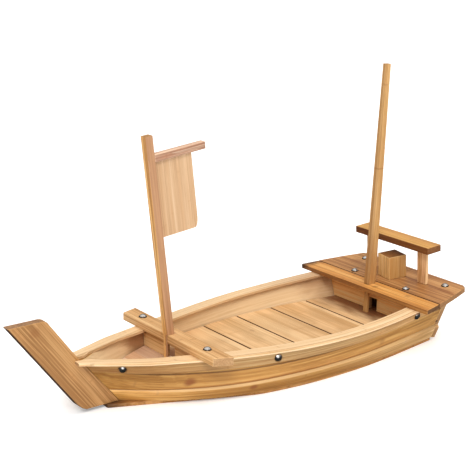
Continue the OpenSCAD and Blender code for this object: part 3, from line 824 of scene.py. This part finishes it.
benchTop = {
    "along": (0, 1, 0),
    "strip": 0.0075,
    "layer": 0.0075,
    "middle": (0.48, 0.228, 0.046),
    "light": (0.66, 0.36, 0.10),
    "end": (0.26, 0.12, 0.045),
    "edgeWearAndGlint": 0.1,
    "charAndShade": (0.12, 0.026, 0.001),
    # painted shade: the front face and the underside are darkened; the near end is darker too
    "burntAndShaded": [((-1, 0, 0), 0.85, 0.55), ((0, -1, 0), 0.60, 0.60), ((0, 0, -1), 1.0, 0.40)],
}
dress("bench_top", benchTop, 0.0007)

squareBlock = {
    "along": (0, 0, 1),
    "streaks": 1.1,
    "veins": 0.5,
    "strips": 0.3,
    "strip": 0.0045,
    "layer": 0.0045,
    "dark": (0.50, 0.26, 0.09),
    "middle": (0.82, 0.50, 0.18),
    "light": (0.92, 0.68, 0.33),
    "charAndShade": (0.30, 0.11, 0.015),
    "burntAndShaded": [((-0.186, -0.983, 0), 0.60, 0.70)],
    # the top's end grain is made very dark: partly its own colour, partly a painted shadow of the bench top
    # over it
    "end": (0.24, 0.075, 0.010),
    "endAmount": 0.92,
}
dress("block", squareBlock, 0.0007)
print("stern dressed")

# masts, yard and sail
frontMast = {
    "along": (-0.108, 0, 0.994),
    "strip": 0.005,
    "layer": 0.0045,
    "knots": 0.2,
    "dark": (0.46, 0.205, 0.055),
    "middle": (0.78, 0.43, 0.140),
    "light": (0.90, 0.60, 0.25),
    # painted shade: the -Y side takes darker, greyer tones
    "sideLight": (0, -1, 0),
    "sideLightDark": (0.36, 0.172, 0.082),
    "sideLightBright": (0.58, 0.325, 0.168),
}
dress("front_mast", frontMast, 0.0007)

rearMast = {
    "along": (0.056, 0, 0.998),
    "strip": 0.0055,
    "layer": 0.006,
    "knots": 0.26,
    "middle": (0.48, 0.260, 0.085),
    "light": (0.63, 0.39, 0.16),
    "marksAndShade": [((0.2215, 0.0, 0.082), (0.03, 0.03, 0.075), 0.30),
              ((0.2236, 0.0, 0.2195), (0.03, 0.03, 0.0016), 0.45)],
}
dress("rear_mast", rearMast, 0.0007)

yardBar = {
    "along": (0.994, 0, 0.108),
    "strip": 0.0045,
    "layer": 0.0045,
    "dark": (0.38, 0.19, 0.115),
    "middle": (0.56, 0.34, 0.225),
    "light": (0.86, 0.64, 0.46),
    "warm": (0.60, 0.27, 0.14),
}
dress("yard", yardBar, 0.0006)

sailBoard = {
    "along": (-0.108, 0, 0.994),
    "strip": 0.02,
    "layer": 0.0034,
    "strips": 0.16,
    "dark": (0.43, 0.240, 0.115),
    "middle": (0.58, 0.365, 0.200),
    "light": (0.68, 0.470, 0.285),
    "knotAmount": 0.1,
    "warmth": 0.12,
    "streaks": 1.2,
    "veins": 0.5,
}
sailSet = {
    "along": Vector((-0.108, 0, 0.994)),
    "out": Vector((0.994, 0, 0.108)),
    "corner": 0.0142,
    "side": 0.34,
    "up": 0.86,
}


def squareCorner(mesh):
    # the sail's lower corner is cut steeper and tighter than an even round
    c = sailSet
    across = [vert.co.dot(c["out"]) for vert in mesh.vertices]
    height = [vert.co.dot(c["along"]) for vert in mesh.vertices]
    edge, foot = max(across), min(height)
    for vert, a, b in zip(mesh.vertices, across, height):
        if edge - a < c["corner"] and b - foot < c["corner"]:
            vert.co += c["out"] * (edge - a) * (1 - c["side"]) - c["along"] * (b - foot) * (1 - c["up"])


dress("sail", sailBoard, 0.0004, squareCorner)
print("masts and sail dressed")

# nails: a polished dome on a shank
steel = {
    "bright": (0.80, 0.78, 0.75),
    "dull": (0.50, 0.47, 0.44),
    "rimShade": (0.035, 0.020, 0.012),   # painted shade: the edge of the dome is darkened, for the shadow round its foot and the dark it mirrors
    "rimShadeEdge": (0.80, 0.96),
    "roughness": 0.10,
    "roughSwing": 0.16,
    "smoothest": 0.05,
    "smear": ((260.0, 260.0, 260.0), 3.0, 0.6),
    "smearEdge": (0.35, 0.7),
    "scratch": ((3800.0, 900.0, 3800.0), 2.0, 0.7),
    "scratchDepth": (0.12, 0.00006),   # strength and height
}
paleRimSteel = {**steel, "rimShade": (0.30, 0.27, 0.25)}
nailSet = {
    "steps": 40,
    "rings": 9,
    "rim": 0.00035,      # straight edge below the dome
    "tuck": 0.0006,
    "weld": 0.00001,
    "crown": 0.0012,     # a slice this deep finds the head's middle
    "rimShare": 0.9,     # what lies this far out belongs to the rim
    "underHead": 0.0005,
    "smooth": 50,
    "digits": 2,         # faces whose normals agree to these digits share a plane
}


def nailFinish(name, metal):
    f = Finish(name)
    smear = f.noise(f.place, *metal["smear"])["Fac"]
    scratch = f.noise(f.place, *metal["scratch"])["Fac"]
    color = f.mix(f.fade(smear, *metal["smearEdge"]), paint(metal["bright"]), paint(metal["dull"]))
    # painted shade: the dome darkens toward its edge
    foot = f.fade(f.attribute("outward"), *metal["rimShadeEdge"])
    f.feed(f.shader.inputs["Base Color"], f.mix(foot, color, paint(metal["rimShade"])))
    f.shader.inputs["Metallic"].default_value = 1.0
    rough = f.swing(smear, metal["roughSwing"], metal["roughness"])
    f.feed(f.shader.inputs["Roughness"], f.math("MAXIMUM", rough, metal["smoothest"]))
    f.relief(scratch, *metal["scratchDepth"])
    return f.material


def islands(bm):
    left = set(bm.verts)
    while left:
        group, front = set(), [left.pop()]
        while front:
            vert = front.pop()
            group.add(vert)
            near = {e.other_vert(vert) for e in vert.link_edges} & left
            left -= near
            front.extend(near)
        yield group


def nailAxis(group, c):
    # the flat underside of the head is the largest plane of a nail
    planes = {}
    for face in {f for vert in group for f in vert.link_faces}:
        key = tuple(round(part, c["digits"]) for part in face.normal)
        area, total = planes.get(key, (0.0, Vector()))
        planes[key] = (area + face.calc_area(), total + face.normal * face.calc_area())
    return -max(planes.values(), key=lambda plane: plane[0])[1].normalized()


def measureNail(group, c):
    axis = nailAxis(group, c)
    along = [v.co.dot(axis) for v in group]
    top, tip = max(along), min(along)
    crown = [v.co for v in group if v.co.dot(axis) > top - c["crown"]]
    middle = sum(crown, Vector()) / len(crown)
    wide = [(v.co - middle - axis * (v.co - middle).dot(axis)).length for v in group]
    radius = max(wide)
    rim = min(at for at, r in zip(along, wide) if r > radius * c["rimShare"])
    shank = max(r for at, r in zip(along, wide) if at < rim - c["underHead"])
    return {
        "foot": middle + axis * (rim - middle.dot(axis)),
        "axis": axis,
        "radius": radius,
        "height": top - rim,
        "shank": shank,
        "length": rim - tip,
    }


def spinNail(bm, outward, nail, c):
    # the dome's outline, then under the head and down the shank
    radius, height, shank, length = nail["radius"], nail["height"], nail["shank"], nail["length"]
    dome = (radius ** 2 + (height - c["rim"]) ** 2) / (2 * (height - c["rim"]))
    reach = math.asin(min(1.0, radius / dome))
    turns = [reach * i / c["rings"] for i in range(c["rings"] + 1)]
    profile = [(dome * math.sin(a), height - dome + dome * math.cos(a)) for a in turns]
    profile += [(radius, 0), (radius - c["tuck"], 0), (shank, 0), (shank, -length), (0, -length)]
    turn = nail["axis"].to_track_quat("Z", "Y").to_matrix().to_4x4()
    lift = Matrix.Translation(nail["foot"]) @ turn
    verts = [bm.verts.new(lift @ Vector((x, 0, z))) for x, z in profile]
    for vert, (x, z) in zip(verts, profile):
        vert[outward] = x / radius
    edges = [bm.edges.new(pair) for pair in zip(verts, verts[1:])]
    bmesh.ops.spin(bm, geom=verts + edges, cent=nail["foot"], axis=nail["axis"], dvec=(0, 0, 0),
                   angle=math.tau, steps=c["steps"], use_merge=True, use_duplicate=False)


def dressNails(name, c, metal):
    source = bmesh.new()
    source.from_mesh(nodes[name].data)
    bmesh.ops.remove_doubles(source, verts=source.verts, dist=c["weld"])
    bm = bmesh.new()
    outward = bm.verts.layers.float.new("outward")
    for group in islands(source):
        spinNail(bm, outward, measureNail(group, c), c)
    source.free()
    bmesh.ops.remove_doubles(bm, verts=bm.verts, dist=c["weld"])
    bmesh.ops.recalc_face_normals(bm, faces=bm.faces)
    for face in bm.faces:
        face.smooth = True
    mesh = bpy.data.meshes.new(name + ".steel")
    bm.to_mesh(mesh)
    bm.free()
    mesh.set_sharp_from_angle(angle=math.radians(c["smooth"]))
    mesh.materials.append(nailFinish(name + ".finish", metal))
    heads = bpy.data.objects.new(name + ".steel", mesh)
    scene.collection.objects.link(heads)
    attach(heads, "root")
    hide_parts(name)


dressNails("side_nails", nailSet, paleRimSteel)
for name in ("beam_nails", "deck_nails"):
    dressNails(name, nailSet, steel)
print("nails dressed")
